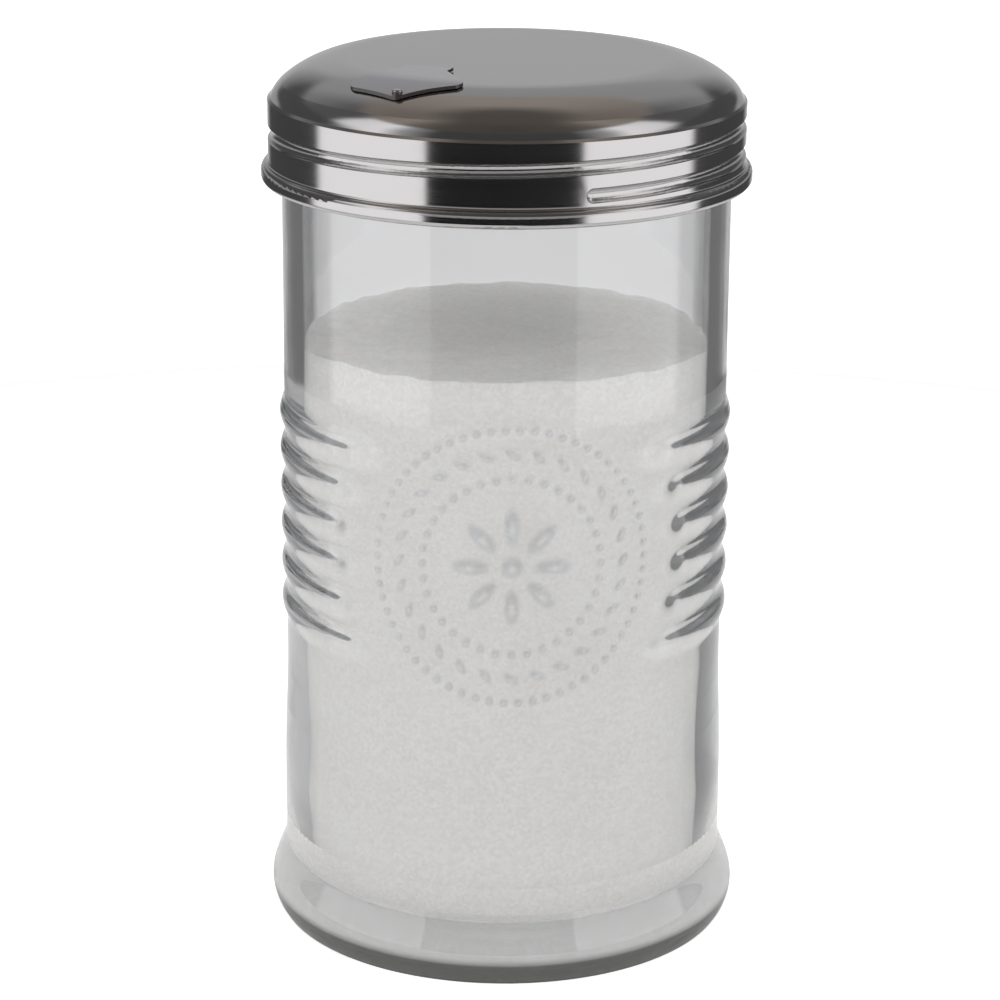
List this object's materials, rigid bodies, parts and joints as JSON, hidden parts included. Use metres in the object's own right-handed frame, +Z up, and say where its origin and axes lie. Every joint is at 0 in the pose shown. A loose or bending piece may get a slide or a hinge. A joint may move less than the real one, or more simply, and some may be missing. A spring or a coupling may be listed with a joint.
{
  "type": "sugar dispenser",
  "caption": "Ribbed glass table sugar dispenser with a screw-on steel lid and a small hinged pouring flap.",
  "frame": {"origin": "centre of the ring that the jar stands on, at table height", "axes": "+Z up the jar's axis, -Y towards the front, where the beaded medallion is, +X to the right of it"},
  "size_m": [0.077, 0.077, 0.1412],
  "materials": {
    "clear_glass": "fire-polished pressed glass",
    "sugar": "loose white granules",
    "seal": "matt silicone",
    "lid_steel": "polished stainless",
    "hinge_steel": "plain rolled stainless",
    "flap_steel": "polished stainless"
  },
  "bodies": {
    "jar": {"glass_jar": "clear_glass", "sugar_fill": "sugar"},
    "ring": {"seal_ring": "seal"},
    "lid": {"lid_cap": "lid_steel", "hinge_bracket": "hinge_steel", "hinge_pin": "hinge_steel"},
    "flap": {"pour_flap": "flap_steel"}
  },
  "joints": [
    {"name": "lid_turn", "type": "hinge", "parent": "jar", "child": "ring", "pos_m": [0, 0, 0.1353], "axis": [0, 0, 1], "range_deg": [0, 1440]},
    {"name": "lid_lift", "type": "slide", "parent": "ring", "child": "lid", "axis": [0, 0, 1], "range_m": [0, 0.017]},
    {"name": "flap_hinge", "type": "hinge", "parent": "lid", "child": "flap", "pos_m": [-0.01137, -0.01076, 0.13857], "axis": [-0.9397, 0.342, 0], "range_deg": [0, 75]}
  ],
  "couplings": [
    {"joint": "lid_lift", "follows": "lid_turn", "m_per_rad": 0.00067375}
  ]
}
